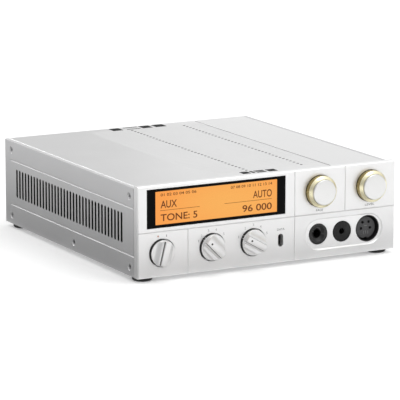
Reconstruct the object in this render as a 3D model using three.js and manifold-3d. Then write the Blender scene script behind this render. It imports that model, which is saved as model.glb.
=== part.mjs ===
// Desktop headphone amplifier: a flat aluminium case with a thick front panel, an amber display, three
// pointer knobs, two gold-rimmed encoder knobs, three headphone sockets and a rear connector field.
//
// Millimetres, +Z up. The front faces -Y and +X is to the right seen from the front. The origin is the
// centre of the footprint, on the surface that the feet stand on. Sizes called x, depth and height in
// the tables below count from the front panel's left edge, front face and bottom edge.

import * as THREE from 'three';
import { mergeVertices } from 'three/addons/utils/BufferGeometryUtils.js';
import Module from 'manifold-3d';

const wasm = await Module();
wasm.setup();

// ---- driving dimensions -------------------------------------------------------------------------

const WIDTH = 245;
const BODY_DEPTH = 258;
const PANEL_HEIGHT = 76.5;
const PANEL_THICKNESS = 7.2;
const PANEL_CHAMFER = 0.8;
const COVER_TOP = 74.7;
const FOOT_HEIGHT = 3.8;
const KNOB_REACH = 8.4;
const REAR_REACH = 8.4;

const GAP = 0.3;
const LARGE = 30;
const MEDIUM = 20;
const SMALL = 10;
const SHEET = 2;
const COVER_THICKNESS = 3;
const SIDE_THICKNESS = 3.2;
const SIDE_BOTTOM = 0.2;
const FLANGE_HEIGHT = 14;
const REAR_THICKNESS = 3;

const FRONT = -BODY_DEPTH / 2 + (KNOB_REACH - REAR_REACH) / 2;
const BACK = FRONT + BODY_DEPTH;
const BEHIND_PANEL = PANEL_THICKNESS + GAP;
const INNER_HALF = WIDTH / 2 - SIDE_THICKNESS - GAP;

const FOOT = { radius: 8.5, sole: 7.4, insetX: 10.5, insetY: 13, rise: FOOT_HEIGHT - GAP };

const WINDOW = { left: 8.3, right: 137.9, bottom: 40.9, top: 73.5, pocket: 2.4, thickness: 2 };
const LCD = { left: 14.2, right: 131.8, bottom: 42.2, top: 72.3, thickness: 4.4 };

const GROOVE = { width: 1.1, depth: 0.9 };
const GROOVE_HEIGHT = 37.7;
const GROOVES_X = { power: 46.1, sockets: 146.8, encoders: 195.7 };

const POINTER = {
  radius: 11, seat: 12, seatDepth: 4.4, back: 4, rim: 2.2, top: 8, barHalf: 2.7, barEnd: 10.3,
  shoulder: 5.4, shoulderEnd: 4.6, slopeEnd: 8, shaftBore: 3.3, boreDepth: 7,
};
const POINTER_KNOBS = [
  { name: 'power', x: 22.3, height: 20, angle: 14 },
  { name: 'input', x: 68.7, height: 20, angle: -45 },
  { name: 'output', x: 107.1, height: 20, angle: -60 },
];

const ENCODER = {
  radius: 13.6, seat: 14, seatDepth: 2.5, wall: 4.5, bore: 11.2, front: 6.7, lip: 0.2, back: 1.2, web: 2.5,
  capChamfer: 1,
};
const ENCODER_KNOBS = [
  { name: 'menu', x: 171.2, height: 57.05 },
  { name: 'volume', x: 220.4, height: 57.05 },
];

const SHAFT_RADIUS = 3;
const SHAFT_HOLE = 4;
const CONTROL = { half: 9, depth: 12, bore: 3.4, floor: 2 };
const PLUNGER = { radius: 2.8, length: 1.6 };

const RECESS = { left: 170.3, right: 219.6, height: 19.9, radius: 13.5, depth: 1.1 };
const SOCKET_FACE = 0.8;
const SOCKET_HEIGHT = 20.15;
const JACK_BODY = 8.8;
const JACK_635 = { x: 170.3, bore: 3.25, dish: 6.7, dishDepth: 2, boreEnd: 30, end: 32 };
const JACK_44 = { x: 193.6, bore: 2.3, boreEnd: 26, end: 28 };
const XLR = {
  x: 218.7, shell: 11.25, bore: 10.6, floor: 20, end: 24, insert: 9.3, insertFace: 4.1, pinHole: 1.3,
  pinDepth: 8,
};
const XLR_PINS = [[-3, 4.9], [3, 4.9], [-4.4, -0.4], [4.4, -0.4]];

const USB_C = { x: 133.4, height: 18.9, halfWidth: 2.45, halfHeight: 5.45, face: 4.5, end: 14 };

const VENT = { count: 35, pitch: 6.02, first: 29, width: 3.2, bottom: 25.5, top: 50.8 };
const SIDE_LINES = [17.0, 56.8];
const SIDE_LINE_END = 11;
const SIDE_SCREWS = [
  { name: 'upper_front', depth: 15.5, height: 66.5 },
  { name: 'upper_rear', depth: 245.5, height: 66.5 },
  { name: 'lower_front', depth: 15.5, height: 7.8 },
  { name: 'lower_middle', depth: 120, height: 7.8 },
  { name: 'lower_rear', depth: 245.5, height: 7.8 },
];
const SCREW = {
  dish: 3.2, head: 2.2, headDepth: 0.8, sink: 1.7, shank: 1.4, length: 7, socket: 1.2, socketDepth: 1.1,
};

const COVER_HOLES = { count: 36, first: 31, radius: 1.1, xs: [118, 171] };
const COVER_LINE_X = 190;

const REAR_INLET = { x: 205, height: 32, halfWidth: 12.2, halfHeight: 8.2, depth: 17, end: 26 };
const REAR_RCA = { x: 112, heights: [22, 46], barrel: 4.15, pinBore: 1.6, flange: 6, end: 14 };
const REAR_XLR = { xs: [36, 74], height: 36, cavity: 9.6, depth: 14, body: 12, end: 20, flange: 2 };
const REAR_USB = { x: 146, height: 22, halfWidth: 4.3, halfHeight: 4, depth: 9, wall: 1.5, end: 16 };

const COLOURS = {
  silver: [0xd8d9dc, 0.38, 0.9],
  gold: [0xd9b76a, 0.18, 1],
  black: [0x141416, 0.45, 0],
  glass: [0x0a0b0d, 0.06, 0],
  amber: [0xffa552, 0.3, 0],
  rubber: [0x1b1b1c, 0.85, 0],
  steel: [0x8f9296, 0.35, 1],
  board: [0x1d5c36, 0.6, 0],
  charcoal: [0x47474a, 0.5, 0],
};

// ---- helpers ------------------------------------------------------------------------------------

const group = new THREE.Group();

/** Adds one named sub-part in one of the finishes above. */
function addPart(name, geometry, finish) {
  const [color, roughness, metalness] = COLOURS[finish];
  const mesh = new THREE.Mesh(geometry, new THREE.MeshStandardMaterial({ color, roughness, metalness }));
  mesh.name = name;
  group.add(mesh);
}

/** Left-edge distance and bottom-edge height on the front panel, as X and Z. */
const acrossX = (x) => x - WIDTH / 2;
const upZ = (height) => height + FOOT_HEIGHT;

function toSolid(geometry) {
  const bare = geometry.clone();
  bare.deleteAttribute('normal');
  bare.deleteAttribute('uv');
  const merged = mergeVertices(bare);
  return new wasm.Manifold(new wasm.Mesh({
    numProp: 3,
    vertProperties: Float32Array.from(merged.attributes.position.array),
    triVerts: Uint32Array.from(merged.index.array),
  }));
}

function toGeometry(solid) {
  const mesh = solid.getMesh();
  const geometry = new THREE.BufferGeometry();
  geometry.setAttribute('position', new THREE.BufferAttribute(mesh.vertProperties, mesh.numProp));
  geometry.setIndex(new THREE.BufferAttribute(mesh.triVerts, 1));
  return geometry;
}

const cut = (base, tools) => toGeometry(tools.reduce((a, b) => a.subtract(toSolid(b)), toSolid(base)));
const join = (pieces) => toGeometry(pieces.map(toSolid).reduce((a, b) => a.add(b)));
const meet = (a, b) => toGeometry(toSolid(a).intersect(toSolid(b)));

/** A block between two corners. */
function block(x0, x1, y0, y1, z0, z1) {
  const geometry = new THREE.BoxGeometry(x1 - x0, y1 - y0, z1 - z0);
  return geometry.translate((x0 + x1) / 2, (y0 + y1) / 2, (z0 + z1) / 2);
}

/** A block given by its centre across and up, its half sizes and its two depths. */
const blockAt = (x, z, halfX, halfZ, y0, y1) => block(x - halfX, x + halfX, y0, y1, z - halfZ, z + halfZ);

/** A round rod along Y. */
function rodY(x, z, radius, y0, y1, segments = SMALL) {
  const geometry = new THREE.CylinderGeometry(radius, radius, y1 - y0, segments);
  return geometry.translate(x, (y0 + y1) / 2, z);
}

/** A turned solid about a Y axis, from [radius, y] points in order of rising y on the outside. */
function turnedY(points, x, z, segments = MEDIUM) {
  const profile = points.map(([radius, y]) => new THREE.Vector2(radius, y));
  return new THREE.LatheGeometry(profile, segments).translate(x, 0, z);
}

/** A turned solid about a Z axis, from [radius, z] points in order of rising z on the outside. */
function turnedZ(points, x, y, segments = MEDIUM) {
  const profile = points.map(([radius, z]) => new THREE.Vector2(radius, z));
  return new THREE.LatheGeometry(profile, segments).rotateX(Math.PI / 2).translate(x, y, 0);
}

/** A flat outline in X and Z, carried from depth y0 to y1. */
function plateXZ(shape, y0, y1, bevel = 0) {
  const geometry = new THREE.ExtrudeGeometry(shape, {
    depth: y1 - y0 - 2 * bevel,
    bevelEnabled: bevel > 0,
    bevelThickness: bevel,
    bevelSize: bevel,
    bevelOffset: -bevel,
    bevelSegments: 1,
    curveSegments: 6,
  });
  return geometry.rotateX(Math.PI / 2).translate(0, y1 - bevel, 0);
}

/** An outline of straight sides through [a, b] points. */
const outline = (points) => new THREE.Shape(points.map(([a, b]) => new THREE.Vector2(a, b)));

/** A slot outline with round ends, its length along the first or the second direction. */
function slotShape(a, b, halfA, halfB) {
  const shape = new THREE.Shape();
  const radius = Math.min(halfA, halfB);
  const runA = halfA - radius;
  const runB = halfB - radius;
  const quarter = Math.PI / 2;
  shape.absarc(a + runA, b + runB, radius, 0, quarter, false);
  shape.absarc(a - runA, b + runB, radius, quarter, 2 * quarter, false);
  shape.absarc(a - runA, b - runB, radius, 2 * quarter, 3 * quarter, false);
  shape.absarc(a + runA, b - runB, radius, 3 * quarter, 4 * quarter, false);
  shape.closePath();
  return shape;
}

/** A rectangular outline with its corners cut off. */
function cutCorners(a, b, halfA, halfB, corner) {
  const shortA = halfA - corner;
  const shortB = halfB - corner;
  return outline([
    [a + shortA, b - halfB], [a + halfA, b - shortB], [a + halfA, b + shortB], [a + shortA, b + halfB],
    [a - shortA, b + halfB], [a - halfA, b + shortB], [a - halfA, b - shortB], [a - shortA, b - halfB],
  ]);
}

/**
 * A V-section bar along X, Y or Z that cuts a groove into the face whose outward normal is given.
 * The V's point can be off its middle by lean.
 */
function grooveTool(start, end, normal, width, depth, lean = 0) {
  const direction = end.clone().sub(start);
  const side = new THREE.Vector3().crossVectors(normal, direction).normalize();
  const section = outline([[-width, depth], [lean, -depth], [width, depth]]);
  const geometry = new THREE.ExtrudeGeometry(section, { depth: direction.length(), bevelEnabled: false });
  const basis = new THREE.Matrix4().makeBasis(side, normal, side.clone().cross(normal));
  geometry.applyMatrix4(basis);
  const from = side.clone().cross(normal).dot(direction) > 0 ? start : end;
  return geometry.translate(from.x, from.y, from.z);
}

/** Turns a connector made facing the front so that it faces the rear. */
const faceRear = (geometry) => geometry.rotateZ(Math.PI);

// ---- case ---------------------------------------------------------------------------------------

function frontPanel() {
  const half = WIDTH / 2;
  const bottom = upZ(0);
  const top = upZ(PANEL_HEIGHT);
  const edge = outline([[-half, bottom], [half, bottom], [half, top], [-half, top]]);
  const through = FRONT + PANEL_THICKNESS + 1;
  const ahead = FRONT - 1;
  const outward = new THREE.Vector3(0, -1, 0);
  const groove = (x0, z0, x1, z1) => grooveTool(
    new THREE.Vector3(acrossX(x0), FRONT, upZ(z0)),
    new THREE.Vector3(acrossX(x1), FRONT, upZ(z1)),
    outward, GROOVE.width, GROOVE.depth,
  );
  const tools = [
    block(acrossX(WINDOW.left), acrossX(WINDOW.right), ahead, FRONT + WINDOW.pocket,
      upZ(WINDOW.bottom), upZ(WINDOW.top)),
    block(acrossX(LCD.left - GAP), acrossX(LCD.right + GAP), FRONT, through,
      upZ(LCD.bottom - GAP), upZ(LCD.top + GAP)),
    groove(-1, GROOVE_HEIGHT, WIDTH + 1, GROOVE_HEIGHT),
    groove(GROOVES_X.power, -1, GROOVES_X.power, GROOVE_HEIGHT),
    groove(GROOVES_X.sockets, -1, GROOVES_X.sockets, PANEL_HEIGHT + 1),
    groove(GROOVES_X.encoders, GROOVE_HEIGHT, GROOVES_X.encoders, PANEL_HEIGHT + 1),
    plateXZ(slotShape(acrossX(USB_C.x), upZ(USB_C.height), USB_C.halfWidth, USB_C.halfHeight),
      ahead, through),
  ];
  for (const { x, height } of POINTER_KNOBS) {
    tools.push(rodY(acrossX(x), upZ(height), POINTER.seat, ahead, FRONT + POINTER.seatDepth, LARGE));
    tools.push(rodY(acrossX(x), upZ(height), SHAFT_HOLE, FRONT, through));
  }
  for (const { x, height } of ENCODER_KNOBS) {
    tools.push(rodY(acrossX(x), upZ(height), ENCODER.seat, ahead, FRONT + ENCODER.seatDepth, LARGE));
    tools.push(rodY(acrossX(x), upZ(height), SHAFT_HOLE, FRONT, through));
  }
  const middle = (RECESS.left + RECESS.right) / 2;
  const halfRun = (RECESS.right - RECESS.left) / 2 + RECESS.radius;
  const recess = slotShape(acrossX(middle), upZ(RECESS.height), halfRun, RECESS.radius);
  tools.push(plateXZ(recess, FRONT - 3 * RECESS.depth, FRONT + RECESS.depth, RECESS.depth));
  const sockets = [[JACK_635.x, JACK_BODY], [JACK_44.x, JACK_BODY], [XLR.x, XLR.shell]];
  for (const [x, radius] of sockets) {
    tools.push(rodY(acrossX(x), upZ(SOCKET_HEIGHT), radius + GAP, ahead, through, LARGE));
  }
  return cut(plateXZ(edge, FRONT, FRONT + PANEL_THICKNESS, PANEL_CHAMFER), tools);
}

/** A flat sheet with two flanges that lie inside the side panels and take the side screws. */
function flangedSheet(z0, z1, flangeZ0, flangeZ1) {
  const inner = INNER_HALF - SHEET;
  const front = FRONT + BEHIND_PANEL;
  const flangeEnd = BACK - REAR_THICKNESS - GAP;
  return join([
    block(-INNER_HALF, INNER_HALF, front, BACK, z0, z1),
    block(-INNER_HALF, -inner, front, flangeEnd, flangeZ0, flangeZ1),
    block(inner, INNER_HALF, front, flangeEnd, flangeZ0, flangeZ1),
  ]);
}

/** Rods through both flanges at the side screws between two heights. */
function screwHoles(lowest, highest) {
  return SIDE_SCREWS.filter(({ height }) => height > lowest && height < highest).map((screw) => {
    const rod = new THREE.CylinderGeometry(SCREW.shank + GAP, SCREW.shank + GAP, WIDTH, SMALL);
    return rod.rotateZ(Math.PI / 2).translate(0, FRONT + screw.depth, upZ(screw.height));
  });
}

function topCover() {
  const bottom = COVER_TOP - COVER_THICKNESS;
  const flangeBottom = bottom - FLANGE_HEIGHT;
  const sheet = flangedSheet(upZ(bottom), upZ(COVER_TOP), upZ(flangeBottom), upZ(COVER_TOP) - 1);
  const up = new THREE.Vector3(0, 0, 1);
  const surface = upZ(COVER_TOP);
  const tools = screwHoles(flangeBottom, bottom);
  tools.push(grooveTool(
    new THREE.Vector3(acrossX(COVER_LINE_X), FRONT, surface),
    new THREE.Vector3(acrossX(COVER_LINE_X), BACK + 1, surface), up, GROOVE.width, GROOVE.depth,
  ));
  const { count, first, radius, xs } = COVER_HOLES;
  for (let i = 0; i < count; i += 1) {
    for (const x of xs) {
      const hole = new THREE.CylinderGeometry(radius, radius, 3 * COVER_THICKNESS, 6);
      tools.push(hole.rotateX(Math.PI / 2).translate(acrossX(x), FRONT + first + i * VENT.pitch, surface));
    }
  }
  return cut(sheet, tools);
}

function bottomPlate() {
  const top = SIDE_BOTTOM + SHEET;
  const sheet = flangedSheet(upZ(SIDE_BOTTOM), upZ(top), upZ(SIDE_BOTTOM) + 1, upZ(FLANGE_HEIGHT));
  return cut(sheet, screwHoles(top, FLANGE_HEIGHT));
}

/** One side panel; side is -1 on the left and 1 on the right. */
function sidePanel(side) {
  const y0 = FRONT + BEHIND_PANEL;
  const z0 = upZ(SIDE_BOTTOM);
  const z1 = upZ(COVER_TOP);
  const shape = outline([[y0, z0], [BACK, z0], [BACK, z1], [y0, z1]]);
  const middle = (VENT.top + VENT.bottom) / 2;
  for (let i = 0; i < VENT.count; i += 1) {
    const y = FRONT + VENT.first + i * VENT.pitch;
    shape.holes.push(cutCorners(y, upZ(middle), VENT.width / 2, (VENT.top - VENT.bottom) / 2, 1));
  }
  const plate = new THREE.ExtrudeGeometry(shape, {
    depth: SIDE_THICKNESS,
    bevelEnabled: false,
  });
  const turn = new THREE.Matrix4().makeBasis(
    new THREE.Vector3(0, 1, 0), new THREE.Vector3(0, 0, 1), new THREE.Vector3(1, 0, 0),
  );
  const inner = side < 0 ? -WIDTH / 2 : WIDTH / 2 - SIDE_THICKNESS;
  plate.applyMatrix4(turn).translate(inner, 0, 0);

  const outer = side * WIDTH / 2;
  const outward = new THREE.Vector3(side, 0, 0);
  const line = (height, from, to, width, depth, lean) => grooveTool(
    new THREE.Vector3(outer, from, upZ(height)),
    new THREE.Vector3(outer, to, upZ(height)), outward, width, depth, lean,
  );
  const squareAbove = side * GROOVE.width;
  const tools = SIDE_LINES.map(
    (height) => line(height, FRONT, BACK - SIDE_LINE_END, GROOVE.width, GROOVE.depth, squareAbove),
  );
  tools.push(line(COVER_TOP, FRONT, BACK + 1, PANEL_CHAMFER, PANEL_CHAMFER));
  for (const screw of SIDE_SCREWS) {
    const hole = new THREE.LatheGeometry([
      new THREE.Vector2(0, -1),
      new THREE.Vector2(SCREW.dish, -1),
      new THREE.Vector2(SCREW.dish, 0),
      new THREE.Vector2(SCREW.shank + GAP, SCREW.sink),
      new THREE.Vector2(SCREW.shank + GAP, 2 * SIDE_THICKNESS),
      new THREE.Vector2(0, 2 * SIDE_THICKNESS),
    ], MEDIUM);
    hole.rotateZ(side * Math.PI / 2).translate(outer, FRONT + screw.depth, upZ(screw.height));
    tools.push(hole);
  }
  return cut(plate, tools);
}

/** A countersunk screw with a hexagonal socket, its head a little below the side panel. */
function sideScrew(side, screw) {
  const body = new THREE.LatheGeometry([
    new THREE.Vector2(0, SCREW.headDepth),
    new THREE.Vector2(SCREW.head, SCREW.headDepth),
    new THREE.Vector2(SCREW.shank, SCREW.sink),
    new THREE.Vector2(SCREW.shank, SCREW.length),
    new THREE.Vector2(0, SCREW.length),
  ], SMALL);
  const socket = new THREE.CylinderGeometry(SCREW.socket, SCREW.socket, 2 * SCREW.socketDepth, 6);
  socket.translate(0, SCREW.headDepth, 0);
  const geometry = cut(body, [socket]);
  geometry.rotateZ(side * Math.PI / 2);
  return geometry.translate(side * WIDTH / 2, FRONT + screw.depth, upZ(screw.height));
}

function rearPanel() {
  const y0 = BACK - REAR_THICKNESS;
  const base = block(-INNER_HALF, INNER_HALF, y0, BACK,
    upZ(SIDE_BOTTOM + SHEET + GAP), upZ(COVER_TOP - COVER_THICKNESS - GAP));
  const opening = (x, height, halfX, halfZ) => blockAt(
    acrossX(x), upZ(height), halfX + GAP, halfZ + GAP, y0 - 1, BACK + 1,
  );
  const { wall } = REAR_USB;
  const tools = [
    opening(REAR_INLET.x, REAR_INLET.height, REAR_INLET.halfWidth + SHEET, REAR_INLET.halfHeight + SHEET),
    opening(REAR_USB.x, REAR_USB.height, REAR_USB.halfWidth + wall, REAR_USB.halfHeight + wall),
  ];
  for (const height of REAR_RCA.heights) {
    tools.push(rodY(acrossX(REAR_RCA.x), upZ(height), REAR_RCA.barrel + GAP, y0 - 1, BACK + 1));
  }
  for (const x of REAR_XLR.xs) {
    tools.push(rodY(acrossX(x), upZ(REAR_XLR.height), REAR_XLR.body + GAP, y0 - 1, BACK + 1, MEDIUM));
  }
  return cut(base, tools);
}

function foot(side, end) {
  const { radius, sole, rise } = FOOT;
  const x = side * (WIDTH / 2 - FOOT.insetX);
  const y = end < 0 ? FRONT + FOOT.insetY : BACK - FOOT.insetY;
  return turnedZ([[0, 0], [sole, 0], [radius, 1], [radius, rise], [0, rise]], x, y, 2 * SMALL);
}

addPart('front_panel', frontPanel(), 'silver');
addPart('top_cover', topCover(), 'silver');
addPart('bottom_plate', bottomPlate(), 'silver');
addPart('rear_panel', rearPanel(), 'silver');
for (const [sideName, side] of [['left', -1], ['right', 1]]) {
  addPart(`${sideName}_side_panel`, sidePanel(side), 'silver');
  for (const screw of SIDE_SCREWS) {
    addPart(`${sideName}_screw_${screw.name}`, sideScrew(side, screw), 'steel');
  }
  addPart(`foot_front_${sideName}`, foot(side, -1), 'rubber');
  addPart(`foot_rear_${sideName}`, foot(side, 1), 'rubber');
}

// ---- display ------------------------------------------------------------------------------------

addPart('display_window', block(
  acrossX(WINDOW.left + GAP), acrossX(WINDOW.right - GAP), FRONT + 0.1, FRONT + WINDOW.thickness,
  upZ(WINDOW.bottom + GAP), upZ(WINDOW.top - GAP),
), 'glass');
const lcdFront = FRONT + WINDOW.pocket + GAP;
addPart('lcd_panel', block(
  acrossX(LCD.left), acrossX(LCD.right), lcdFront, lcdFront + LCD.thickness,
  upZ(LCD.bottom), upZ(LCD.top),
), 'amber');

// ---- knobs and their controls ---------------------------------------------------------------------

/** A round knob that slopes up on both sides to a shoulder, with a straight grip bar across it. */
function pointerKnob({ x, height, angle }) {
  const { radius, rim, top, back, barHalf, barEnd, shoulder, shoulderEnd, slopeEnd } = POINTER;
  const disc = rodY(0, 0, radius, -rim, back, LARGE);
  const flank = [
    [slopeEnd, -rim + 1], [slopeEnd, -rim], [shoulderEnd, -shoulder], [barHalf, -shoulder], [barHalf, -top],
  ];
  const mirrored = flank.map(([x, y]) => [-x, y]).reverse();
  const section = outline([...flank, ...mirrored]);
  const bar = new THREE.ExtrudeGeometry(section, {
    depth: 2 * radius,
    bevelEnabled: false,
  }).translate(0, 0, -radius);
  const round = rodY(0, 0, barEnd, -top - 1, 1, LARGE);
  const bore = rodY(0, 0, POINTER.shaftBore, back - POINTER.boreDepth, back + 1);
  const knob = cut(join([disc, meet(bar, round)]), [bore]);
  knob.rotateY(THREE.MathUtils.degToRad(angle));
  return knob.translate(acrossX(x), FRONT, upZ(height));
}

/** The gold skirt of an encoder knob: a straight wall, then a cone up to the cap. */
function encoderRing({ x, height }) {
  const { radius, wall, bore, front, lip, back, web } = ENCODER;
  const shaft = SHAFT_RADIUS + GAP;
  const points = [
    [radius, -wall], [radius, back], [shaft, back], [shaft, -web], [bore, -web], [bore, -front],
    [bore + lip, -front], [radius, -wall],
  ];
  return turnedY(points, 0, 0, LARGE).translate(acrossX(x), FRONT, upZ(height));
}

function encoderCap({ x, height }) {
  const radius = ENCODER.bore - GAP;
  const back = -ENCODER.web - GAP;
  const points = [
    [0, -KNOB_REACH], [radius - ENCODER.capChamfer, -KNOB_REACH], [radius, ENCODER.capChamfer - KNOB_REACH],
    [radius, back], [0, back],
  ];
  return turnedY(points, 0, 0, LARGE).translate(acrossX(x), FRONT, upZ(height));
}

/** A switch or encoder body behind the panel, with a blind bore for its shaft. */
function controlBody({ x, height }) {
  const y0 = FRONT + BEHIND_PANEL;
  const y1 = y0 + CONTROL.depth;
  const body = blockAt(acrossX(x), upZ(height), CONTROL.half, CONTROL.half, y0, y1);
  return cut(body, [rodY(acrossX(x), upZ(height), CONTROL.bore, y0 - 1, y1 - CONTROL.floor)]);
}

const CONTROL_END = FRONT + BEHIND_PANEL + CONTROL.depth;
const PLUNGER_BACK = CONTROL_END - CONTROL.floor - 1.4;

for (const knob of POINTER_KNOBS) {
  addPart(`${knob.name}_knob`, pointerKnob(knob), 'silver');
  addPart(`${knob.name}_switch`, controlBody(knob), 'charcoal');
  const shaftFront = FRONT + POINTER.back - POINTER.boreDepth + GAP;
  const shaft = rodY(acrossX(knob.x), upZ(knob.height), SHAFT_RADIUS, shaftFront,
    CONTROL_END - CONTROL.floor - GAP);
  addPart(`${knob.name}_shaft`, shaft, 'steel');
}
for (const knob of ENCODER_KNOBS) {
  addPart(`${knob.name}_knob_ring`, encoderRing(knob), 'gold');
  addPart(`${knob.name}_knob_cap`, encoderCap(knob), 'silver');
  addPart(`${knob.name}_encoder`, controlBody(knob), 'charcoal');
  const shaft = rodY(acrossX(knob.x), upZ(knob.height), SHAFT_RADIUS, FRONT - ENCODER.web + GAP,
    PLUNGER_BACK - PLUNGER.length - GAP);
  addPart(`${knob.name}_shaft`, shaft, 'steel');
}
addPart('menu_plunger', rodY(acrossX(ENCODER_KNOBS[0].x), upZ(ENCODER_KNOBS[0].height),
  PLUNGER.radius, PLUNGER_BACK - PLUNGER.length, PLUNGER_BACK), 'black');

// ---- front sockets ------------------------------------------------------------------------------

/** The 6.35 mm jack: a dished nose round a deep bore. */
function bigJack() {
  const { bore, dish, dishDepth, boreEnd, end } = JACK_635;
  const mouth = SOCKET_FACE + dishDepth;
  return turnedY([
    [0, boreEnd], [bore, boreEnd], [bore, mouth], [dish, SOCKET_FACE], [JACK_BODY, SOCKET_FACE],
    [JACK_BODY, end], [0, end],
  ], 0, 0, LARGE).translate(acrossX(JACK_635.x), FRONT, upZ(SOCKET_HEIGHT));
}

/** The 4.4 mm jack: a flat nose with a chamfered hole. */
function smallJack() {
  const { bore, boreEnd, end } = JACK_44;
  return turnedY([
    [0, boreEnd], [bore, boreEnd], [bore, SOCKET_FACE + 0.5], [bore + 0.5, SOCKET_FACE],
    [JACK_BODY, SOCKET_FACE], [JACK_BODY, end], [0, end],
  ], 0, 0, LARGE).translate(acrossX(JACK_44.x), FRONT, upZ(SOCKET_HEIGHT));
}

function xlrShell() {
  const { shell, bore, floor, end } = XLR;
  return turnedY([
    [0, floor], [bore, floor], [bore, SOCKET_FACE], [shell, SOCKET_FACE], [shell, end], [0, end],
  ], 0, 0, LARGE).translate(acrossX(XLR.x), FRONT, upZ(SOCKET_HEIGHT));
}

function xlrInsert() {
  const { insert, insertFace, floor, pinHole, pinDepth } = XLR;
  const body = rodY(0, 0, insert, insertFace, floor - GAP, LARGE);
  const holes = XLR_PINS.map(([x, z]) => rodY(x, z, pinHole, insertFace - 1, insertFace + pinDepth));
  const key = block(-1.4, 1.4, insertFace - 1, floor, -insert - 1, -insert + 1.2);
  return cut(body, [...holes, key]).translate(acrossX(XLR.x), FRONT, upZ(SOCKET_HEIGHT));
}

/** The USB-C receptacle, standing upright behind its slot, with its contact tongue. */
function usbPort() {
  const { halfWidth, halfHeight, face, end } = USB_C;
  const body = plateXZ(slotShape(0, 0, halfWidth - GAP, halfHeight - GAP), face, end);
  const cavity = plateXZ(slotShape(0, 0, 1.45, 4.35), face - 1, face + 6.5);
  const tongue = blockAt(0, 0, 0.35, 3.3, face + 1, face + 7);
  return join([cut(body, [cavity]), tongue]).translate(acrossX(USB_C.x), FRONT, upZ(USB_C.height));
}

addPart('jack_6_35', bigJack(), 'black');
addPart('jack_4_4', smallJack(), 'black');
addPart('xlr_socket_shell', xlrShell(), 'black');
addPart('xlr_socket_insert', xlrInsert(), 'charcoal');
addPart('usb_c_port', usbPort(), 'steel');

// ---- rear connectors ------------------------------------------------------------------------------

/** Places a connector made at the origin, facing the front, on the rear panel's outer face. */
const onRear = (geometry, x, height) => faceRear(geometry).translate(acrossX(x), BACK, upZ(height));

/** The mains inlet: a flanged box with three flat blades set back from its mouth. */
function mainsInlet() {
  const { halfWidth, halfHeight, depth, end } = REAR_INLET;
  const body = blockAt(0, 0, halfWidth + SHEET, halfHeight + SHEET, -SHEET, end);
  const flange = blockAt(0, 0, halfWidth + 2 * SHEET, halfHeight + 2 * SHEET, -SHEET - GAP, -GAP);
  const cavity = blockAt(0, 0, halfWidth, halfHeight, -2 * SHEET, depth);
  const blade = (x, z) => blockAt(x, z, 1, 2, depth - 12, depth + 1);
  return join([cut(join([body, flange]), [cavity]), blade(-7, -2), blade(7, -2), blade(0, 2)]);
}

/** A phono socket: a turned barrel with a centre hole and a flange. */
function phonoSocket() {
  const { barrel, pinBore, flange, end } = REAR_RCA;
  return turnedY([
    [0, 0], [pinBore, 0], [pinBore, -REAR_REACH], [barrel, -REAR_REACH], [barrel, -GAP - 1.5],
    [flange, -GAP - 1.5], [flange, -GAP], [barrel, -GAP], [barrel, end], [0, end],
  ], 0, 0, SMALL);
}

/** A three-pin balanced output: a round shell with three pins set back from its mouth. */
function balancedOutput() {
  const { cavity, depth, body, end, flange } = REAR_XLR;
  const shell = rodY(0, 0, body, -flange, end, MEDIUM);
  const plate = blockAt(0, 0, body + 1, body + 3, -flange - GAP, -GAP);
  const hollow = rodY(0, 0, cavity, -2 * flange, depth, MEDIUM);
  const pins = [90, 210, 330].map((angle) => {
    const a = THREE.MathUtils.degToRad(angle);
    return rodY(4.8 * Math.cos(a), 4.8 * Math.sin(a), 1.2, depth - 9, depth + 1);
  });
  return join([cut(join([shell, plate]), [hollow]), ...pins]);
}

/** A square data socket with its tongue set back from its mouth. */
function dataSocket() {
  const { halfWidth, halfHeight, depth, wall, end } = REAR_USB;
  const body = blockAt(0, 0, halfWidth + wall, halfHeight + wall, -1, end);
  const cavity = blockAt(0, 0, halfWidth, halfHeight, -2, depth);
  const tongue = blockAt(0, 0, 2.8, 1.6, 3.6, depth + 1);
  return join([cut(body, [cavity]), tongue]);
}

addPart('mains_inlet', onRear(mainsInlet(), REAR_INLET.x, REAR_INLET.height), 'black');
addPart('line_out_right', onRear(phonoSocket(), REAR_RCA.x, REAR_RCA.heights[0]), 'gold');
addPart('line_out_left', onRear(phonoSocket(), REAR_RCA.x, REAR_RCA.heights[1]), 'gold');
addPart('balanced_out_right', onRear(balancedOutput(), REAR_XLR.xs[0], REAR_XLR.height), 'black');
addPart('balanced_out_left', onRear(balancedOutput(), REAR_XLR.xs[1], REAR_XLR.height), 'black');
addPart('data_socket', onRear(dataSocket(), REAR_USB.x, REAR_USB.height), 'steel');

// ---- electronics ----------------------------------------------------------------------------------

const BOARD = 1.6;

/** An upright circuit board behind the front panel. */
function uprightBoard(left, right, bottom, top, y) {
  return block(acrossX(left), acrossX(right), y, y + BOARD, upZ(bottom), upZ(top));
}

addPart('display_board', uprightBoard(9, 137, 42, 70, lcdFront + LCD.thickness + GAP), 'board');
addPart('control_board', uprightBoard(8, 142, 5, 35, CONTROL_END + GAP), 'board');
addPart('encoder_board', uprightBoard(152, 236, 42, 70, CONTROL_END + GAP), 'board');
addPart('headphone_board', uprightBoard(152, 236, 5, 38, FRONT + JACK_635.end + GAP), 'board');

const MAIN_BOARD_Z = upZ(10);
addPart('main_board', block(-105, 50, FRONT + 60, BACK - 30, MAIN_BOARD_Z, MAIN_BOARD_Z + BOARD), 'board');

/** A ring-core transformer standing on the bottom plate. */
function transformer() {
  const z0 = upZ(SIDE_BOTTOM + SHEET + GAP);
  const points = [
    [28, z0], [31, z0 + 5], [31, z0 + 29], [28, z0 + 34], [12, z0 + 34], [9, z0 + 29], [9, z0 + 5],
    [12, z0], [28, z0],
  ];
  return turnedZ(points, 84, FRONT + 160);
}

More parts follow.
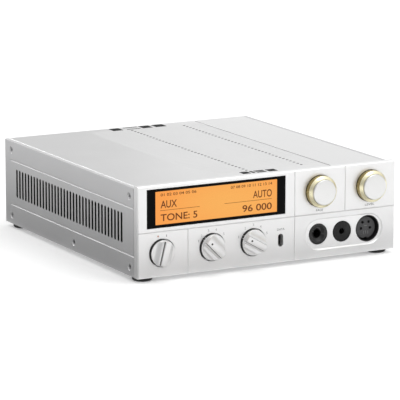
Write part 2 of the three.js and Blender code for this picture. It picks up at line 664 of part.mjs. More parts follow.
/** A comb of upright fins on a base plate, standing on the main board. */
function heatSink() {
  const z0 = MAIN_BOARD_Z + BOARD + GAP;
  const y0 = FRONT + 80;
  const fins = [];
  for (let i = 0; i < 8; i += 1) {
    fins.push(block(-60 + i * 8, -57 + i * 8, y0, y0 + 90, z0, z0 + 36));
  }
  return join([block(-60, -1, y0, y0 + 90, z0, z0 + 4), ...fins]);
}

function capacitor(x, y) {
  const z0 = MAIN_BOARD_Z + BOARD + GAP;
  return turnedZ([[0, z0], [9, z0], [9, z0 + 33], [8, z0 + 34], [0, z0 + 34]], x, y);
}

addPart('power_transformer', transformer(), 'charcoal');
addPart('heat_sink', heatSink(), 'steel');
addPart('smoothing_capacitor_left', capacitor(25, FRONT + 100), 'black');
addPart('smoothing_capacitor_right', capacitor(25, FRONT + 130), 'black');

export default group;
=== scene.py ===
from math import cos, pi, radians, sin

import bmesh
import bpy
import numpy as np
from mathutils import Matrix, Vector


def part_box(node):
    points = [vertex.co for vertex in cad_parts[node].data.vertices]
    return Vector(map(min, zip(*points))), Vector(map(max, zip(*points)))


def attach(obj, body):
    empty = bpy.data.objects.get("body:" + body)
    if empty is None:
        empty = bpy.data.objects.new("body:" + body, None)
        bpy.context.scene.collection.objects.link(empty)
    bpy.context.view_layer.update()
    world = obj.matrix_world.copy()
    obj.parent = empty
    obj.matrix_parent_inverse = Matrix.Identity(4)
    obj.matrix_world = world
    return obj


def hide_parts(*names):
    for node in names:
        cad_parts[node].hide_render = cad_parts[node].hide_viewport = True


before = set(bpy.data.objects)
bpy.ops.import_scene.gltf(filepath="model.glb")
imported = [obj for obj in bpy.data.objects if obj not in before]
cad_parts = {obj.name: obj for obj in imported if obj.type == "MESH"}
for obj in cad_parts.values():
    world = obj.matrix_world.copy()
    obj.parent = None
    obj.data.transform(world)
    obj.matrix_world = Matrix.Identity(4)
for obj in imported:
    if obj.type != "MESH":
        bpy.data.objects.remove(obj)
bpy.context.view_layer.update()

MM = 0.001

# ---- where things are ---------------------------------------------------------------------------
# Depths run back from the front panel's face, heights up from its lower edge, and x runs right
# from its left edge, all in millimetres.

panel_low, panel_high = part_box("front_panel")
cover_low, cover_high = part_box("top_cover")
HALF_WIDTH = (panel_high.x - panel_low.x) / 2 / MM
FRONT = panel_low.y / MM
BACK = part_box("rear_panel")[1].y / MM
PANEL_BOTTOM = panel_low.z / MM
COVER_TOP = cover_high.z / MM
SIDES = (("left", -1), ("right", 1))

# The line along the cover, the recess round the headphone sockets, the field of the side slots, and
# how far a printed mark stands out of its face and reaches into it.
LINE_X = 190.0
LINE_HALF = 1.1
LINE_DEPTH = 0.9

RECESS_LEFT = 150
RECESS_BOTTOM = 3
RECESS_TOP = 36
RECESS_DEPTH = 3

VENT_FRONT = 20
VENT_BACK = 245
VENT_BOTTOM = 20.5
VENT_TOP = 54.5

MARK_RISE = 0.03
MARK_SINK = 0.1


def across(x):
    """Distance from the panel's left edge, as a frame coordinate in millimetres."""
    return x - HALF_WIDTH


def up(height):
    """Height above the panel's lower edge, as a frame coordinate in millimetres."""
    return height + PANEL_BOTTOM


def middle(node):
    """The centre of a CAD node's box, in millimetres."""
    low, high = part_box(node)
    return (np.array(low) + np.array(high)) / 2 / MM


# ---- surfaces -------------------------------------------------------------------------------------


def sheet_faces(rows, columns, around=False):
    """Corner numbers of the four-sided faces between neighbouring rows and columns of a grid.

    With around, the last column is joined to the first."""
    number = np.arange(rows * columns).reshape(rows, columns)
    right = np.roll(number, -1, axis=1)
    last = columns if around else columns - 1
    corners = [number[:-1, :last], right[:-1, :last], right[1:, :last], number[1:, :last]]
    return np.stack(corners, axis=-1).reshape(-1, 4)


def piece(name, surfaces, body, finish, stands_for=(), crease=32):
    """Makes one object of several surfaces, each its points in millimetres and its tables of faces."""
    places, faces, start = [], [], 0
    for points, *tables in surfaces:
        points = np.asarray(points, float).reshape(-1, 3)
        for table in tables:
            faces += (np.asarray(table) + start).tolist()
        places.append(points)
        start += len(points)
    mesh = bpy.data.meshes.new(name)
    mesh.from_pydata(np.concatenate(places) * MM, [], faces)
    close_seams(mesh)
    mesh.polygons.foreach_set("use_smooth", np.ones(len(mesh.polygons), dtype=bool))
    mesh.set_sharp_from_angle(angle=radians(crease))
    return place_piece(name, mesh, body, finish, stands_for)


def close_seams(mesh):
    """Merges points that lie together, and turns every face outwards."""
    work = bmesh.new()
    work.from_mesh(mesh)
    bmesh.ops.remove_doubles(work, verts=work.verts, dist=1e-6)
    bmesh.ops.recalc_face_normals(work, faces=work.faces)
    work.to_mesh(mesh)
    work.free()


def place_piece(name, mesh, body, finish, stands_for=()):
    """Puts a finished mesh in the scene, on its body, and hides the CAD nodes it stands for."""
    mesh.materials.clear()
    mesh.materials.append(finish)
    thing = bpy.data.objects.new(name, mesh)
    bpy.context.collection.objects.link(thing)
    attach(thing, body)
    if stands_for:
        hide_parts(*stands_for)
    return thing


def softened(profile, size, steps=4):
    """Rounds a profile's inner corners: each is replaced by a parabola between two points size away."""
    profile = np.asarray(profile, float)
    corner = profile[1:-1]
    before = profile[:-2] - corner
    after = profile[2:] - corner
    reach_before = np.linalg.norm(before, axis=1, keepdims=True)
    reach_after = np.linalg.norm(after, axis=1, keepdims=True)
    cut = np.minimum(size, 0.45 * np.minimum(reach_before, reach_after))
    start = (corner + before / reach_before * cut)[:, None]
    end = (corner + after / reach_after * cut)[:, None]
    t = np.linspace(0, 1, steps + 1)[None, :, None]
    curve = (1 - t) ** 2 * start + 2 * t * (1 - t) * corner[:, None] + t ** 2 * end
    return np.concatenate([profile[:1], curve.reshape(-1, 2), profile[-1:]])


def turned(profile, centre, axis="y", steps=96):
    """A profile of (radius, distance) carried round an axis: the point at angle a is radius times
    (cos a, sin a) across the axis, and distance along it."""
    profile = np.asarray(profile, float)
    a = np.linspace(0, 2 * pi, steps, endpoint=False)[None, :]
    radius = profile[:, :1]
    first = radius * np.cos(a)
    second = radius * np.sin(a)
    along = profile[:, 1:] + 0 * a
    order = {"x": (along, first, second), "y": (first, along, second), "z": (first, second, along)}
    points = np.stack(order[axis], axis=-1) + np.asarray(centre, float)
    return points, sheet_faces(len(profile), steps, around=True)


def plate(x0, x1, z0, z1, front, back, corner, soft=0.0, steps=8):
    """An upright rounded rectangle: its outline is a corner circle at each of four centres, and the
    rows are that outline at the back, at the front, and drawn in to nothing at its middle."""
    a = np.linspace(0, 2 * pi, 4 * steps, endpoint=False) + pi / (4 * steps)
    side_x = np.where(np.cos(a) > 0, x1 - corner, x0 + corner)
    side_z = np.where(np.sin(a) > 0, z1 - corner, z0 + corner)
    radii = np.array([0, corner, corner, corner - soft, 0])
    depth = np.array([back, back, front + soft, front, front])
    hold = np.array([0, 1, 1, 1, 0])[:, None]
    mid_x, mid_z = (x0 + x1) / 2, (z0 + z1) / 2
    x = mid_x + hold * (side_x - mid_x + radii[:, None] * np.cos(a))
    z = mid_z + hold * (side_z - mid_z + radii[:, None] * np.sin(a))
    y = depth[:, None] + 0 * a
    return np.stack([x, y, z], axis=-1), sheet_faces(5, 4 * steps, around=True)


# ---- finishes ---------------------------------------------------------------------------------------


class Value:
    """A number that changes over a surface. Arithmetic on it adds the Math nodes that work it out."""

    def __init__(self, finish, socket):
        self.finish = finish
        self.socket = socket

    def math(self, operation, first, second=0.0):
        node = self.finish.node("ShaderNodeMath", {"operation": operation}, {0: first, 1: second})
        return Value(self.finish, node.outputs[0])

    def __add__(self, other):
        return self.math("ADD", self, other)

    def __sub__(self, other):
        return self.math("SUBTRACT", self, other)

    def __rsub__(self, other):
        return self.math("SUBTRACT", other, self)

    def __mul__(self, other):
        return self.math("MULTIPLY", self, other)

    def __truediv__(self, other):
        return self.math("DIVIDE", self, other)

    def __pow__(self, other):
        return self.math("POWER", self, other)

    def __mod__(self, other):
        return self.math("FLOORED_MODULO", self, other)

    def __gt__(self, other):
        return self.math("GREATER_THAN", self, other)

    def __lt__(self, other):
        return self.math("LESS_THAN", self, other)

    def sine(self):
        return self.math("SINE", self)

    def root(self):
        return self.math("SQRT", self)

    __radd__ = __add__
    __rmul__ = __mul__


class Finish:
    """One material: a Principled shader with fixed settings, and nodes that vary it."""

    def __init__(self, name, fixed):
        self.material = bpy.data.materials.new(name)
        self.material.use_nodes = True
        self.tree = self.material.node_tree
        self.shader = self.tree.nodes["Principled BSDF"]
        for socket, value in fixed.items():
            self.shader.inputs[socket].default_value = value
        self.place = self.node("ShaderNodeTexCoord").outputs["Object"]

    def node(self, kind, settings=None, inputs=None):
        """Adds a node: its settings first, then the values or links of its sockets."""
        made = self.tree.nodes.new(kind)
        for key, value in (settings or {}).items():
            setattr(made, key, value)
        for key, value in (inputs or {}).items():
            if isinstance(value, Value):
                value = value.socket
            if isinstance(value, bpy.types.NodeSocket):
                self.tree.links.new(value, made.inputs[key])
            else:
                made.inputs[key].default_value = value
        return made

    def feed(self, socket, value):
        """Links a varying value to one of the shader's sockets."""
        self.tree.links.new(value.socket if isinstance(value, Value) else value, self.shader.inputs[socket])

    def axes(self):
        """The place on the object as three values, x, y and z, in millimetres."""
        parts = self.node("ShaderNodeSeparateXYZ", None, {0: self.place})
        return [Value(self, output) * 1000.0 for output in parts.outputs]

    def noise(self, size, detail):
        """Cloudy variation from 0 to 1 with features about size millimetres wide."""
        scale = [1000.0 / size] * 3
        moved = self.node("ShaderNodeMapping", None, {"Vector": self.place, "Scale": scale})
        cloud = self.node("ShaderNodeTexNoise", None,
                          {"Vector": moved.outputs[0], "Scale": 1.0, "Detail": detail})
        return Value(self, cloud.outputs[0])

    def between(self, first, second, factor):
        """A colour between two colours, by a factor from 0 to 1."""
        colours = [one if isinstance(one, bpy.types.NodeSocket) else (*one, 1.0) for one in (first, second)]
        mix = self.node("ShaderNodeMix", {"data_type": "RGBA"}, {0: factor, 6: colours[0], 7: colours[1]})
        return mix.outputs[2]

    def bump(self, height, distance, strength):
        """Raises the surface's shading by a height from 0 to 1, times distance in millimetres."""
        node = self.node("ShaderNodeBump", None,
                         {"Height": height, "Distance": distance * MM, "Strength": strength})
        self.feed("Normal", node.outputs[0])


def blasted_aluminium(name, dark, light, roughness, metal=0.85, shaded=None, shade=(0.02, 0.02, 0.02)):
    """Bead-blasted and anodised aluminium: fine even grain, with very faint cloudy tone. The function
    shaded takes the place x, y, z and gives 1 where the metal is painted with the shade colour, else 0:
    painted shade where that colour is dark, painted light where it is light."""
    finish = Finish(name, {"Metallic": metal})
    cloud = finish.noise(40, 3)
    grain = finish.noise(0.35, 2)
    tone = finish.between(dark, light, cloud * 0.7 + grain * 0.3)
    if shaded:
        tone = finish.between(tone, shade, shaded(*finish.axes()))
    finish.feed("Base Color", tone)
    finish.feed("Roughness", grain * 0.12 + cloud * 0.05 + (roughness - 0.085))
    finish.bump(grain, 0.012, 0.6)
    return finish.material


def cover_line(x, y, z):
    """The inner part of the groove along the top cover, painted dark grey as shade in the groove."""
    return ((x - across(LINE_X)) ** 2.0 < 0.7) * (z > COVER_TOP - 1.5)


def socket_recess(x, y, z):
    """The floor and walls of the recess round the headphone sockets, painted brighter: painted light that
    lifts the shade in the recess.
    """
    inside = (y > FRONT + 0.3) * (y < FRONT + RECESS_DEPTH) * (x > across(RECESS_LEFT))
    return inside * (z < up(RECESS_TOP)) * (z > up(RECESS_BOTTOM))


def vent_walls(x, y, z):
    """The walls of the side panels' slots, painted near black as shade: below the outer face, and within
    the slots' field.
    """
    below = x ** 2.0 < (HALF_WIDTH - 0.08) ** 2
    level = (z > up(VENT_BOTTOM)) * (z < up(VENT_TOP))
    return below * level * (y > FRONT + VENT_FRONT) * (y < FRONT + VENT_BACK)


# The darker gold painted on the gold rings' outer walls: painted shade.
SHADED_WALL_GOLD = (0.36, 0.28, 0.11)


def turned_metal(name, centre, dark, light, roughness, pitch=0.35, metal=1.0, depth=0.006, wall=None,
                 shine=0.5):
    """Metal from a lathe: hair-fine rings round an axis along y, in colour, gloss and relief. With wall,
    the metal is painted a darker gold beyond that radius: painted shade on the ring's outer wall."""
    finish = Finish(name, {"Metallic": metal, "Specular IOR Level": shine})
    x, _, z = finish.axes()
    radius = ((x - float(centre[0])) ** 2.0 + (z - float(centre[2])) ** 2.0).root()
    rings = (radius * (2 * pi / pitch)).sine() * 0.5 + 0.5
    cloud = finish.noise(6, 3)
    tone = finish.between(dark, light, rings * 0.45 + cloud * 0.55)
    if wall:
        tone = finish.between(tone, SHADED_WALL_GOLD, radius > wall)
    finish.feed("Base Color", tone)
    finish.feed("Roughness", rings * 0.06 + cloud * 0.06 + (roughness - 0.06))
    finish.bump(rings, depth, 0.5)
    return finish.material


def moulded_plastic(name, dark, light, roughness, grain_size=0.5, depth=0.02, metal=0.0, shine=0.5):
    """Moulded plastic, rubber or dull metal with a fine grain and faint handling marks."""
    finish = Finish(name, {"Metallic": metal, "Specular IOR Level": shine})
    grain = finish.noise(grain_size, 2)
    cloud = finish.noise(12, 3)
    finish.feed("Base Color", finish.between(dark, light, grain * 0.5 + cloud * 0.5))
    finish.feed("Roughness", cloud * 0.15 + grain * 0.1 + (roughness - 0.12))
    finish.bump(grain, depth, 0.7)
    return finish.material


def printed_ink(name, dark, light, roughness=0.6):
    """Dull printing ink with a very fine grain."""
    return moulded_plastic(name, dark, light, roughness, 0.3, 0.004, shine=0.1)


def black_glass():
    """Dark display glass: glossy, with the faintest cloudiness in its polish."""
    finish = Finish("display_black_glass", {"Metallic": 0.0, "Specular IOR Level": 0.04})
    haze = finish.noise(30, 3)
    finish.feed("Base Color", finish.between((0.002, 0.002, 0.002), (0.004, 0.004, 0.004), haze))
    finish.feed("Roughness", haze * 0.06 + 0.05)
    return finish.material


GLOW_RIGHT = 12
DOT_PITCH = 0.52
DOT_GAP = DOT_PITCH * 0.12


def backlight(name, edge, glow, level):
    """A lit amber panel with a fine grid of dots. Its colour goes from glow to edge with the squares
    of the distances from a point right of its middle, as parts of its half width and half height."""
    low, high = (np.array(corner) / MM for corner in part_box("lcd_panel"))
    centre = (low + high) / 2
    half = (high - low) / 2
    finish = Finish(name, {"Base Color": (0.02, 0.008, 0.002, 1), "Roughness": 0.35,
                           "Specular IOR Level": 0.2, "Emission Strength": level})
    x, _, z = finish.axes()
    off_x = (x - float(centre[0] + GLOW_RIGHT)) / float(half[0])
    off_z = (z - float(centre[2])) / float(half[2])
    spread = off_x ** 2.0 * 0.8 + off_z ** 2.0 * 0.35 + finish.noise(25, 2) * 0.12
    lines = ((x % DOT_PITCH) > DOT_GAP) * ((z % DOT_PITCH) > DOT_GAP)
    tone = finish.between(glow, edge, spread)
    dim = finish.between((0.86, 0.86, 0.86), (1.0, 1.0, 1.0), lines)
    lit = finish.node("ShaderNodeMix", {"data_type": "RGBA", "blend_type": "MULTIPLY"},
                      {0: 1.0, 6: tone, 7: dim})
    finish.feed("Emission Color", lit.outputs[2])
    return finish.material


def circuit_board():
    """Green solder mask over darker and lighter copper runs."""
    finish = Finish("green_circuit_board", {"Metallic": 0.0})
    x, y, z = finish.axes()
    runs = ((x + z) % 4.0 > 2.6) * ((y + finish.noise(9, 1) * 6.0) % 7.0 > 2.0)
    finish.feed("Base Color", finish.between((0.012, 0.07, 0.025), (0.03, 0.14, 0.05), runs))
    finish.feed("Roughness", finish.noise(2, 2) * 0.1 + 0.3)
    finish.bump(runs, 0.03, 0.6)
    return finish.material


SIDE_TONES = ((0.66, 0.66, 0.665), (0.72, 0.72, 0.725))

# The socket recess in the front panel is painted lighter: painted light against the shade in the recess.
silver = blasted_aluminium("silver_anodised_panel", (0.86, 0.86, 0.86), (0.92, 0.92, 0.92), 0.42,
                           shaded=socket_recess, shade=(0.96, 0.96, 0.96))
# The slot walls of the side panels are painted near black: painted shade.
silver_sides = blasted_aluminium("silver_anodised_side", *SIDE_TONES, 0.46, shaded=vent_walls)
silver_rear = blasted_aluminium("silver_anodised_rear", *SIDE_TONES, 0.46)
# The groove along the cover is painted dark grey: painted shade.
silver_cover = blasted_aluminium("silver_anodised_cover", (0.77, 0.77, 0.77), (0.82, 0.82, 0.82), 0.40,
                                 shaded=cover_line, shade=(0.30, 0.30, 0.30))
dark_plastic = moulded_plastic("black_moulded_plastic", (0.008, 0.008, 0.008), (0.016, 0.016, 0.017), 0.42)
grey_plastic = moulded_plastic("charcoal_moulded_plastic", (0.045, 0.045, 0.047), (0.07, 0.07, 0.072), 0.5)
rubber = moulded_plastic("black_foot_rubber", (0.012, 0.012, 0.012), (0.022, 0.022, 0.022), 0.75, 0.8, 0.05)
print_ink = printed_ink("grey_printed_ink", (0.10, 0.10, 0.105), (0.15, 0.15, 0.155))
red_ink = printed_ink("brown_red_printed_ink", (0.50, 0.28, 0.23), (0.58, 0.34, 0.28))
light_ink = printed_ink("pale_grey_printed_ink", (0.40, 0.40, 0.40), (0.48, 0.48, 0.48))
rib_grey = moulded_plastic("grey_moulded_ribs", (0.13, 0.13, 0.13), (0.17, 0.17, 0.17), 0.5, 0.3, 0.004)
black_ink = printed_ink("black_printed_ink", (0.02, 0.02, 0.02), (0.035, 0.035, 0.035), 0.7)
steel = moulded_plastic("plated_steel", (0.42, 0.42, 0.43), (0.55, 0.55, 0.56), 0.34, 1.2, 0.01, metal=1.0)
# The USB port's steel is painted near black, as painted shade inside its slot.
dark_steel = moulded_plastic("usb_steel_painted_dark", (0.012, 0.012, 0.012), (0.03, 0.03, 0.03), 0.4, 0.8, 0.01,
                             metal=0.3, shine=0.2)
glass = black_glass()
amber = backlight("amber_backlight", (1.0, 0.37, 0.075), (0.98, 0.46, 0.105), 0.96)
board = circuit_board()

# ---- pointer knobs ------------------------------------------------------------------------------

KNOB_RADIUS = 11.0
KNOB_RIM = 2.2
KNOB_TOP = 8.0
KNOB_BACK = 4.0
BAR_HALF = 2.7
BAR_END = 10.3
SHOULDER = 5.4
SHOULDER_END = 4.6
SLOPE_END = 8.3
KNOB_SOFT = 0.35
KNOB_ANGLES = (("power", 14.0), ("input", -45.0), ("output", -60.0))
DOT_REACH = 6.0
DOT_RADIUS = 0.85
DOT_RISE = 0.04


def knob_section():
    """Half of the knob's cross-section over its face, as (distance across, height): the flat bar, its
    rounded edge and steep wall, the shoulder, a cosine slope down from it, and the flat rim."""
    bar = np.array([[0, KNOB_TOP], [BAR_HALF - 0.5, KNOB_TOP], [BAR_HALF - 0.24, KNOB_TOP - 0.05],
                    [BAR_HALF - 0.05, KNOB_TOP - 0.24], [BAR_HALF, KNOB_TOP - 0.5],
                    [BAR_HALF + 0.05, SHOULDER + 0.35], [BAR_HALF + 0.15, SHOULDER + 0.1]])
    t = np.linspace(0, 1, 14)
    fall = (1 + np.cos(pi * t)) / 2
    slope = np.stack([SHOULDER_END - 1.1 + t * (SLOPE_END + 1.1 - SHOULDER_END),
                      KNOB_RIM + (SHOULDER - KNOB_RIM) * fall], axis=-1)
    a = np.linspace(np.arccos((SLOPE_END + 0.25) / BAR_END), 0, 9)
    rim = np.stack([BAR_END * np.cos(a), np.full(9, KNOB_RIM)], axis=-1)
    half = np.concatenate([bar, slope, rim])
    return np.concatenate([half[:0:-1] * [-1, 1], half])


def pointer_knob(centre_x, centre_z, angle):
    """The knob as one closed grid. Each column runs up the wall, over the face along the bar and
    down the other side. Outside the face the columns are circles drawn out to the knob's radius."""
    section = knob_section()
    u = section[:, 0]
    height = section[:, 1]
    chord = np.sqrt(np.maximum(BAR_END ** 2 - u ** 2, 0))
    drop = np.minimum(KNOB_SOFT, (height - KNOB_RIM) / 2)
    flat = np.full_like(u, 1.0)
    rings = [
        (flat * KNOB_RADIUS, flat * KNOB_BACK),
        (flat * KNOB_RADIUS, flat * -(KNOB_RIM - KNOB_SOFT)),
        (flat * (KNOB_RADIUS - 0.1), flat * -(KNOB_RIM - 0.1)),
        (flat * (KNOB_RADIUS - KNOB_SOFT), flat * -KNOB_RIM),
        (flat * BAR_END, flat * -KNOB_RIM),
        (flat * BAR_END, -(height - drop)),
        (BAR_END - 0.28 * drop, -(height - 0.28 * drop)),
        (BAR_END - drop, -height),
    ]
    radius = np.stack([r for r, _ in rings])
    y = np.stack([d for _, d in rings])
    up_side = np.stack([u * radius / BAR_END, y, chord * radius / BAR_END], axis=-1)
    inner = np.linspace(-0.96, 0.96, 22)[:, None]
    over = np.stack([u * radius[-1] / BAR_END + 0 * inner, y[-1] + 0 * inner,
                     inner * chord * radius[-1] / BAR_END], axis=-1)
    points = np.concatenate([up_side * [1, 1, -1], over, up_side[::-1]])
    faces = sheet_faces(len(points), len(u))
    number = np.arange(len(points) * len(u)).reshape(len(points), len(u))
    back = np.stack([number[0, :-1], number[-1, :-1], number[-1, 1:], number[0, 1:]], axis=-1)
    c, s = cos(radians(angle)), sin(radians(angle))
    x = centre_x + points[..., 0] * c + points[..., 2] * s
    z = centre_z - points[..., 0] * s + points[..., 2] * c
    placed = np.stack([x, points[..., 1] + FRONT, z], axis=-1)
    return placed, np.concatenate([faces, back])


def knob_walls(centre_x, centre_z, angle):
    """A function that gives 1 on the outer wall of a knob placed and turned as told, and on the steep walls
    of its bar: there the knob's metal is painted dark grey as shade."""
    c, s = cos(radians(angle)), sin(radians(angle))

    def shaded(x, y, z):
        a, b = x - centre_x, z - centre_z
        u = a * c - b * s
        beside_bar = (u ** 2.0 > (BAR_HALF - 0.07) ** 2) * (u ** 2.0 < (BAR_HALF + 0.2) ** 2)
        outside = (a ** 2.0 + b ** 2.0 > (KNOB_RADIUS - 0.06) ** 2) * (y > FRONT - KNOB_RIM + 0.2)
        return beside_bar * (y < FRONT - SHOULDER) + outside

    return shaded


for control, angle in KNOB_ANGLES:
    x, _, z = (float(value) for value in middle(f"{control}_knob"))
    # The knob's outer wall and its bar's steep walls are painted dark grey: painted shade.
    machined = blasted_aluminium(f"silver_anodised_{control}_knob", (0.80, 0.80, 0.80), (0.87, 0.87, 0.87),
                                 0.34, shaded=knob_walls(x, z, angle), shade=(0.13, 0.13, 0.13))
    piece(f"{control}_knob_machined", [pointer_knob(x, z, angle)], f"{control}_control",
          machined, [f"{control}_knob"], crease=28)
    if control != "power":
        dot = (x + DOT_REACH * sin(radians(angle)), FRONT - KNOB_TOP, z + DOT_REACH * cos(radians(angle)))
        disc = [[0, -DOT_RISE], [DOT_RADIUS, -DOT_RISE], [DOT_RADIUS, MARK_SINK], [0, MARK_SINK]]
        piece(f"{control}_knob_dot", [turned(disc, dot, steps=32)], f"{control}_control",
              dark_plastic)

# ---- ring knobs -----------------------------------------------------------------------------------

RING_SLOPE_END = 4.5
RING_LIP = 0.25
RING_GAP = 0.15
RING_SOFT = 0.16
CAP_SHOULDER = 0.8

for control in ("menu", "volume"):
    ring_low, ring_high = (np.array(corner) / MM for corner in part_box(f"{control}_knob_ring"))
    cap_low, cap_high = (np.array(corner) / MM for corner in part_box(f"{control}_knob_cap"))
    x, _, z = (ring_low + ring_high) / 2
    outer = (ring_high[0] - ring_low[0]) / 2
    cap = (cap_high[0] - cap_low[0]) / 2
    inner = cap + RING_GAP
    ring = [[inner, ring_high[1]], [inner, ring_low[1]], [inner + RING_LIP, ring_low[1]],
            [outer, FRONT - RING_SLOPE_END], [outer, ring_high[1]], [inner, ring_high[1]]]
    # The gold ring's outer wall is painted darker gold: painted shade.
    gold = turned_metal(f"gold_{control}_ring", (x, 0, z), (0.94, 0.85, 0.54), (1.0, 0.96, 0.72), 0.3,
                        wall=outer - 0.12)
    piece(f"{control}_knob_gold_ring", [turned(softened(ring, RING_SOFT), (x, 0, z), steps=128)],
          f"{control}_control", gold, [f"{control}_knob_ring"], crease=40)
    t = np.linspace(0, pi / 2, 9)
    shoulder = np.stack([cap - CAP_SHOULDER + CAP_SHOULDER * np.sin(t),
                         cap_low[1] + CAP_SHOULDER - CAP_SHOULDER * np.cos(t)], axis=-1)
    face = np.concatenate([[[0, cap_low[1]]], shoulder, [[cap, cap_high[1]], [0, cap_high[1]]]])
    spun = turned_metal(f"silver_{control}_cap", (x, 0, z), (0.76, 0.76, 0.755), (0.83, 0.83, 0.82), 0.36)
    piece(f"{control}_knob_spun_cap", [turned(face, (x, 0, z), steps=128)],
          f"{control}_control", spun, [f"{control}_knob_cap"], crease=40)

# ---- front sockets ----------------------------------------------------------------------------------

NOSE = FRONT + 0.8
NOSE_RADIUS = 8.8
LARGE_BORE = 3.25
SMALL_BORE = 2.3
SHELL_RADIUS = 11.25
SHELL_OPENING = 10.6

x, _, z = middle("jack_6_35")
jack_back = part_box("jack_6_35")[1].y / MM
t = np.linspace(0, 1, 9)
dish = np.stack([3.5 + 3.6 * t, NOSE + 2.1 * (1 - t) ** 1.6], axis=-1)
bore = [[0, jack_back - 2], [LARGE_BORE, jack_back - 2], [LARGE_BORE, NOSE + 2.5]]
rim = [[7.4, NOSE], [NOSE_RADIUS - 0.2, NOSE], [NOSE_RADIUS, NOSE + 0.2], [NOSE_RADIUS, jack_back],
       [0, jack_back]]
profile = np.concatenate([bore, dish, rim])
black_turned = turned_metal("black_anodised_jack", (x, 0, z), (0.004, 0.004, 0.004), (0.012, 0.012, 0.012),
                            0.24, 0.9, 0.1, depth=0.03, shine=0.55)
piece("jack_6_35_nose", [turned(profile, (x, 0, z))], "chassis", black_turned, ["jack_6_35"])

x, _, z = middle("jack_4_4")
jack_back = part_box("jack_4_4")[1].y / MM
profile = [[0, jack_back - 2], [SMALL_BORE, jack_back - 2], [SMALL_BORE, NOSE + 0.6],
           [SMALL_BORE + 0.6, NOSE], [NOSE_RADIUS - 0.3, NOSE], [NOSE_RADIUS, NOSE + 0.3],
           [NOSE_RADIUS, jack_back], [0, jack_back]]
black_face = turned_metal("black_turned_jack_face", (x, 0, z), (0.004, 0.004, 0.004), (0.035, 0.035, 0.035),
                          0.2, 0.8, 0.5, depth=0.06, shine=0.3)
piece("jack_4_4_nose", [turned(softened(profile, 0.15), (x, 0, z))], "chassis", black_face,
      ["jack_4_4"])

x, _, z = middle("xlr_socket_shell")
shell_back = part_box("xlr_socket_shell")[1].y / MM
profile = [[0, shell_back - 4], [SHELL_OPENING, shell_back - 4], [SHELL_OPENING, NOSE],
           [SHELL_RADIUS, NOSE], [SHELL_RADIUS, shell_back], [0, shell_back]]
piece("xlr_shell_ring", [turned(softened(profile, 0.2), (x, 0, z))], "chassis", dark_plastic,
      ["xlr_socket_shell"])
insert_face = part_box("xlr_socket_insert")[0].y / MM
INSERT_RIBS = ((-2.6, -1.7, -5.6, -2.6), (-0.45, 0.45, -5.2, -2.6), (1.7, 2.6, -5.6, -2.6),
               (-1.6, 1.6, 1.4, 2.3))
ribs = [plate(x + left, x + right, z + low, z + high, insert_face - 0.35, insert_face + 0.3, 0.3, 0.1, 4)
        for left, right, low, high in INSERT_RIBS]
piece("xlr_insert_ribs", ribs, "chassis", rib_grey)

# ---- feet and screws --------------------------------------------------------------------------------

for node in ("foot_front_left", "foot_front_right", "foot_rear_left", "foot_rear_right"):
    low, high = (np.array(corner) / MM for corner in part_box(node))
    x, y, _ = (low + high) / 2
    radius = (high[0] - low[0]) / 2
    profile = [[0, low[2] + 0.3], [radius - 2.6, low[2] + 0.3], [radius - 2.2, low[2]],
               [radius - 1.2, low[2]], [radius, low[2] + 1.1], [radius, high[2]], [0, high[2]]]
    piece(f"{node}_pad", [turned(softened(profile, 0.3), (x, y, 0), "z")], "chassis", rubber,
          [node])


def socket_screw(centre, side):
    """A flat screw with a hexagonal socket: rings from the shank's end, over the head's face, then a
    hexagon whose radius at angle a is its half width over cos of a's distance from a flat's middle.
    Each row is a radius, a depth under the face, and 1 where the ring is a hexagon."""
    rows = [(0, 6.1, 0), (1.4, 6.1, 0), (1.4, 1.7, 0), (3.02, 0.12, 0), (2.95, 0.03, 0), (1.35, 0.03, 0),
            (1.25, 0.1, 1), (1.2, 1.1, 1), (0, 1.3, 1)]
    a = np.linspace(0, 2 * pi, 48, endpoint=False)
    hexagon = cos(pi / 6) / np.cos((a % (pi / 3)) - pi / 6)
    radius = np.stack([r * (hexagon if six else 1 + 0 * a) for r, _, six in rows])
    depth = np.stack([d + 0 * a for _, d, _ in rows])
    points = np.stack([-side * depth, radius * np.cos(a), radius * np.sin(a)], axis=-1)
    return points + np.asarray(centre, float), sheet_faces(len(rows), 48, around=True)


for side_name, side in SIDES:
    for spot in ("upper_front", "upper_rear", "lower_front", "lower_middle", "lower_rear"):
        node = f"{side_name}_screw_{spot}"
        _, y, z = middle(node)
        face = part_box(node)[0].x / MM if side < 0 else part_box(node)[1].x / MM
        piece(f"{node}_socket_head", [socket_screw((face, y, z), side)], "chassis", steel, [node])

# ---- top cover --------------------------------------------------------------------------------------

FLUTE_PITCH = 6.02
FLUTE_COUNT = 36
FLUTE_FIRST = 31.0
FLUTE_HALF = 2.75
FLUTE_DEPTH = 0.4
FIELD_LEFT = 77.6
FIELD_RIGHT = 186.0
HOLE_COLUMNS = (118.0, 171.0)
HOLE_RADIUS = 1.25
HOLE_DEPTH = 2.6
SHEET = 3.0
FLANGE = 17.0
FLANGE_SHEET = 2
COVER_EDGE = 0.4


